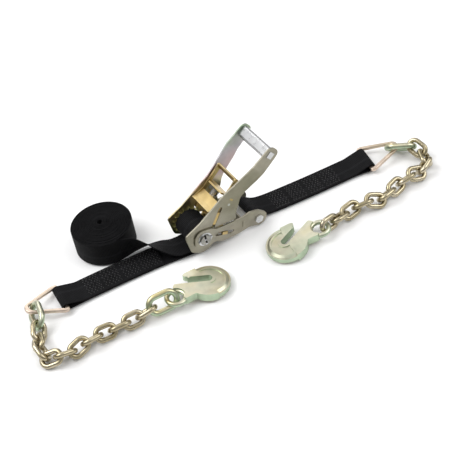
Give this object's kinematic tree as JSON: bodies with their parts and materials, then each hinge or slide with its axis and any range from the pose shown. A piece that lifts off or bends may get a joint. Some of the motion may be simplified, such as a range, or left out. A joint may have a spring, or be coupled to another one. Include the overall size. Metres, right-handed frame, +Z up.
{
  "type": "ratchet strap with chain tails",
  "caption": "Cargo tie-down of black webbing with a long-handled ratchet buckle, delta rings and chain tails ending in grab hooks.",
  "frame": {"origin": "centre of the bounding box at ground level", "axes": "+X along the strap from the long strap's end towards the anchor strap's end, +Y away from the chains towards the webbing roll, +Z up"},
  "size_m": [0.7949, 0.3114, 0.1626],
  "materials": {
    "webbing": "matte",
    "chain": "satin",
    "forged_zinc": "satin",
    "ring_zinc": "satin",
    "side_plate": "satin",
    "gold_pawl": "satin",
    "bright_zinc": "satin",
    "spindle_steel": "satin",
    "spring_steel": "satin"
  },
  "bodies": {
    "base": {"base_plate_near": "side_plate", "base_plate_far": "side_plate", "base_cross_plate": "side_plate", "anchor_bolt": "bright_zinc", "anchor_lock_nut": "bright_zinc", "anchor_sleeve": "bright_zinc"},
    "base_lock": {"base_pawl": "gold_pawl", "base_pawl_spring": "spring_steel"},
    "handle": {"handle_plate_near": "side_plate", "handle_plate_far": "side_plate", "grip_bar": "bright_zinc", "handle_bracket": "gold_pawl", "handle_rivet_near": "bright_zinc", "handle_rivet_far": "bright_zinc"},
    "release": {"drive_pawl": "gold_pawl", "drive_pawl_spring": "spring_steel"},
    "spindle": {"spindle_half_front": "spindle_steel", "spindle_half_rear": "spindle_steel", "ratchet_wheel_near": "gold_pawl", "ratchet_wheel_far": "gold_pawl", "wound_webbing": "webbing", "spindle_washer_near": "bright_zinc", "spindle_washer_far": "bright_zinc", "cotter_pin_near": "bright_zinc", "cotter_pin_far": "bright_zinc"},
    "long_webbing": {"long_strap": "webbing", "spare_tail": "webbing", "spare_roll": "webbing"},
    "anchor_webbing": {"anchor_strap": "webbing"},
    "ring_left": {"delta_ring_left": "ring_zinc"},
    "ring_right": {"delta_ring_right": "ring_zinc"},
    "coupling_left_ring": {"coupling_left_ring": "forged_zinc"},
    "link_left_01": {"link_left_01": "chain"},
    "link_left_02": {"link_left_02": "chain"},
    "link_left_03": {"link_left_03": "chain"},
    "link_left_04": {"link_left_04": "chain"},
    "link_left_05": {"link_left_05": "chain"},
    "link_left_06": {"link_left_06": "chain"},
    "link_left_07": {"link_left_07": "chain"},
    "link_left_08": {"link_left_08": "chain"},
    "link_left_09": {"link_left_09": "chain"},
    "link_left_10": {"link_left_10": "chain"},
    "link_left_11": {"link_left_11": "chain"},
    "coupling_left_hook": {"coupling_left_hook": "forged_zinc"},
    "grab_hook_left": {"grab_hook_left": "forged_zinc"},
    "coupling_right_ring": {"coupling_right_ring": "forged_zinc"},
    "link_right_01": {"link_right_01": "chain"},
    "link_right_02": {"link_right_02": "chain"},
    "link_right_03": {"link_right_03": "chain"},
    "link_right_04": {"link_right_04": "chain"},
    "link_right_05": {"link_right_05": "chain"},
    "link_right_06": {"link_right_06": "chain"},
    "link_right_07": {"link_right_07": "chain"},
    "link_right_08": {"link_right_08": "chain"},
    "link_right_09": {"link_right_09": "chain"},
    "link_right_10": {"link_right_10": "chain"},
    "link_right_11": {"link_right_11": "chain"},
    "link_right_12": {"link_right_12": "chain"},
    "grab_hook_right": {"grab_hook_right": "forged_zinc"}
  },
  "joints": [
    {"name": "handle_swing", "type": "hinge", "parent": "base", "child": "handle", "pos_m": [-0.04872, -0.00232, 0.03526], "axis": [0, -1, 0], "range_deg": [-22.5, 112.5]},
    {"name": "spindle_turn", "type": "hinge", "parent": "base", "child": "spindle", "pos_m": [-0.04872, -0.00232, 0.03526], "axis": [0, 1, 0], "continuous": true},
    {"name": "base_lock_slide", "type": "slide", "parent": "base", "child": "base_lock", "axis": [0.9308, 0, -0.3656], "range_m": [-0.0056, 0.0014], "stiffness_N_per_m": 700, "springref_m": -0.006, "deforming": ["base_pawl_spring"]},
    {"name": "release_slide", "type": "slide", "parent": "handle", "child": "release", "axis": [0.5585, 0, 0.8295], "range_m": [-0.0052, 0.0045], "stiffness_N_per_m": 900, "springref_m": -0.012, "deforming": ["drive_pawl_spring"]},
    {"name": "long_strap_swing", "type": "hinge", "parent": "base", "child": "long_webbing", "pos_m": [-0.04872, -0.00232, 0.03526], "axis": [0, 1, 0], "range_deg": [-3, 8]},
    {"name": "anchor_strap_swing", "type": "hinge", "parent": "base", "child": "anchor_webbing", "pos_m": [0.0603, -0.00232, 0.01721], "axis": [0, -1, 0], "range_deg": [-6, 60]},
    {"name": "ring_left_swing", "type": "hinge", "parent": "long_webbing", "child": "ring_left", "pos_m": [-0.30522, 0.02468, 0.01046], "axis": [0.0698, 0.9976, 0], "range_deg": [-12, 60]},
    {"name": "coupling_left_ring_swing", "type": "hinge", "parent": "ring_left", "child": "coupling_left_ring", "pos_m": [-0.357, 0.0162, 0.01917], "axis": [-0.9623, 0.2153, 0.1663], "range_deg": [-4, 40]},
    {"name": "link_left_01_swing", "type": "hinge", "parent": "coupling_left_ring", "child": "link_left_01", "pos_m": [-0.36632, -0.0157, 0.01687], "axis": [0.4743, -0.4241, 0.7714], "range_deg": [-40, 6]},
    {"name": "link_left_02_swing", "type": "hinge", "parent": "link_left_01", "child": "link_left_02", "pos_m": [-0.37846, -0.03633, 0.01327], "axis": [0.6371, -0.3742, -0.6738], "range_deg": [-40, 40]},
    {"name": "link_left_03_swing", "type": "hinge", "parent": "link_left_02", "child": "link_left_03", "pos_m": [-0.38487, -0.05969, 0.01889], "axis": [-0.7474, 0.1035, -0.6563], "range_deg": [-8, 40]},
    {"name": "link_left_04_swing", "type": "hinge", "parent": "link_left_03", "child": "link_left_04", "pos_m": [-0.38376, -0.08352, 0.01204], "axis": [-0.5988, -0.3062, 0.74], "range_deg": [-40, 6]},
    {"name": "link_left_05_swing", "type": "hinge", "parent": "link_left_04", "child": "link_left_05", "pos_m": [-0.36341, -0.09521, 0.01792], "axis": [0.2859, 0.8349, 0.4702], "range_deg": [-29, 29]},
    {"name": "link_left_06_swing", "type": "hinge", "parent": "link_left_05", "child": "link_left_06", "pos_m": [-0.3391, -0.09773, 0.01404], "axis": [0.0134, 0.6579, -0.753], "range_deg": [-8, 40]},
    {"name": "link_left_07_swing", "type": "hinge", "parent": "link_left_06", "child": "link_left_07", "pos_m": [-0.31446, -0.09611, 0.01638], "axis": [-0.0183, -0.719, -0.6948], "range_deg": [-40, 40]},
    {"name": "link_left_08_swing", "type": "hinge", "parent": "link_left_07", "child": "link_left_08", "pos_m": [-0.28955, -0.09527, 0.01488], "axis": [-0.0433, -0.6998, 0.713], "range_deg": [-40, 10]},
    {"name": "link_left_09_swing", "type": "hinge", "parent": "link_left_08", "child": "link_left_09", "pos_m": [-0.26457, -0.09754, 0.01414], "axis": [0.0735, 0.703, 0.7074], "range_deg": [-40, 40]},
    {"name": "link_left_10_swing", "type": "hinge", "parent": "link_left_09", "child": "link_left_10", "pos_m": [-0.23961, -0.10019, 0.01417], "axis": [0.0686, 0.7038, -0.7071], "range_deg": [-17, 40]},
    {"name": "link_left_11_swing", "type": "hinge", "parent": "link_left_10", "child": "link_left_11", "pos_m": [-0.21465, -0.10126, 0.0155], "axis": [0.0953, -0.7166, -0.6909], "range_deg": [-40, 40]},
    {"name": "coupling_left_hook_swing", "type": "hinge", "parent": "link_left_11", "child": "coupling_left_hook", "pos_m": [-0.19042, -0.10403, 0.02109], "axis": [-0.1622, -0.7634, 0.6253], "range_deg": [-17, 17]},
    {"name": "grab_hook_left_swing", "type": "hinge", "parent": "coupling_left_hook", "child": "grab_hook_left", "pos_m": [-0.15166, -0.10973, 0.02147], "axis": [0.1777, 0.413, 0.8933], "range_deg": [-2, 40]},
    {"name": "ring_right_swing", "type": "hinge", "parent": "anchor_webbing", "child": "ring_right", "pos_m": [0.30028, -0.02932, 0.01046], "axis": [-0.1908, -0.9816, 0], "range_deg": [-12, 60]},
    {"name": "coupling_right_ring_swing", "type": "hinge", "parent": "ring_right", "child": "coupling_right_ring", "pos_m": [0.3579, -0.04687, 0.0188], "axis": [0.6607, 0.7473, 0.0704], "range_deg": [-25, 2]},
    {"name": "link_right_01_swing", "type": "hinge", "parent": "coupling_right_ring", "child": "link_right_01", "pos_m": [0.38109, -0.0689, 0.02365], "axis": [-0.5912, -0.3343, 0.734], "range_deg": [-8, 40]},
    {"name": "link_right_02_swing", "type": "hinge", "parent": "link_right_01", "child": "link_right_02", "pos_m": [0.38466, -0.09114, 0.0156], "axis": [-0.7947, 0.2317, -0.5611], "range_deg": [-31, 10]},
    {"name": "link_right_03_swing", "type": "hinge", "parent": "link_right_02", "child": "link_right_03", "pos_m": [0.37289, -0.11213, 0.01717], "axis": [0.4337, -0.6156, -0.658], "range_deg": [-40, 40]},
    {"name": "link_right_04_swing", "type": "hinge", "parent": "link_right_03", "child": "link_right_04", "pos_m": [0.35067, -0.12252, 0.01333], "axis": [0.1827, -0.6899, 0.7005], "range_deg": [-19, 40]},
    {"name": "link_right_05_swing", "type": "hinge", "parent": "link_right_04", "child": "link_right_05", "pos_m": [0.32651, -0.12371, 0.01746], "axis": [-0.0812, 0.7384, 0.6694], "range_deg": [-40, 40]},
    {"name": "link_right_06_swing", "type": "hinge", "parent": "link_right_05", "child": "link_right_06", "pos_m": [0.30176, -0.12457, 0.01567], "axis": [-0.1173, 0.6872, -0.7169], "range_deg": [-40, 40]},
    {"name": "link_right_07_swing", "type": "hinge", "parent": "link_right_06", "child": "link_right_07", "pos_m": [0.27727, -0.1298, 0.01459], "axis": [0.1297, -0.6928, -0.7093], "range_deg": [-40, 40]},
    {"name": "link_right_08_swing", "type": "hinge", "parent": "link_right_07", "child": "link_right_08", "pos_m": [0.25247, -0.133, 0.01318], "axis": [-0.0231, -0.715, 0.6988], "range_deg": [-40, 40]},
    {"name": "link_right_09_swing", "type": "hinge", "parent": "link_right_08", "child": "link_right_09", "pos_m": [0.22889, -0.12745, 0.01723], "axis": [0.1063, 0.7341, 0.6707], "range_deg": [-40, 40]},
    {"name": "link_right_10_swing", "type": "hinge", "parent": "link_right_09", "child": "link_right_10", "pos_m": [0.20459, -0.12246, 0.01583], "axis": [0.0339, 0.6994, -0.7139], "range_deg": [-40, 40]},
    {"name": "link_right_11_swing", "type": "hinge", "parent": "link_right_10", "child": "link_right_11", "pos_m": [0.17965, -0.12276, 0.01431], "axis": [-0.0346, -0.7074, -0.706], "range_deg": [-27, 27]},
    {"name": "link_right_12_swing", "type": "hinge", "parent": "link_right_11", "child": "link_right_12", "pos_m": [0.15529, -0.12725, 0.01777], "axis": [0.19, -0.8408, 0.5069], "range_deg": [-21, 21]},
    {"name": "grab_hook_right_swing", "type": "hinge", "parent": "link_right_12", "child": "grab_hook_right", "pos_m": [0.13069, -0.13178, 0.01807], "axis": [-0.1322, 0.2539, 0.9582], "range_deg": [-25, 8]}
  ]
}
